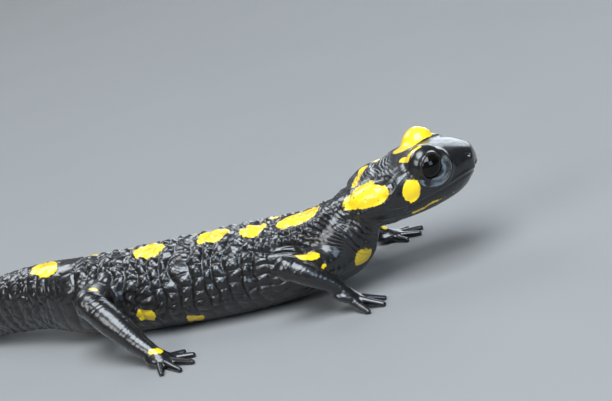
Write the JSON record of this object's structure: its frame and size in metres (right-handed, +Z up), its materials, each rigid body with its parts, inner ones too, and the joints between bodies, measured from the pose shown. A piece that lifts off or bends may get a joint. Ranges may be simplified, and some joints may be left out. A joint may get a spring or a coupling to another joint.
{
  "type": "fire salamander",
  "caption": "Life-size fire salamander standing low on its belly with the head raised and turned, glossy black with yellow patches, in one still pose.",
  "frame": {"origin": "on the flat of the belly, on the floor, midway between the shoulders and the hips", "axes": "+X forward along the trunk towards the head, +Y to the animal's left, +Z up"},
  "size_m": [0.1555, 0.06, 0.026],
  "materials": {
    "skin_black": "wet, glossy black skin",
    "skin_yellow": "wet, glossy yellow skin with fine pores",
    "eye": "polished near-black eye"
  },
  "bodies": {
    "root": {"head": "skin_black", "lower_jaw": "skin_black", "eye_left": "eye", "parotoid_left": "skin_yellow", "eye_right": "eye", "parotoid_right": "skin_yellow", "tail_tip": "skin_black", "tail_middle": "skin_black", "tail_base": "skin_black", "trunk_rear": "skin_black", "trunk_middle": "skin_black", "trunk_front": "skin_black", "neck": "skin_black", "front_right_upper_arm": "skin_black", "front_right_forearm": "skin_black", "front_right_hand": "skin_black", "front_left_upper_arm": "skin_black", "front_left_forearm": "skin_black", "front_left_hand": "skin_black", "hind_right_thigh": "skin_black", "hind_right_shin": "skin_black", "hind_right_foot": "skin_black", "hind_left_thigh": "skin_black", "hind_left_shin": "skin_black", "hind_left_foot": "skin_black"}
  },
  "joints": []
}
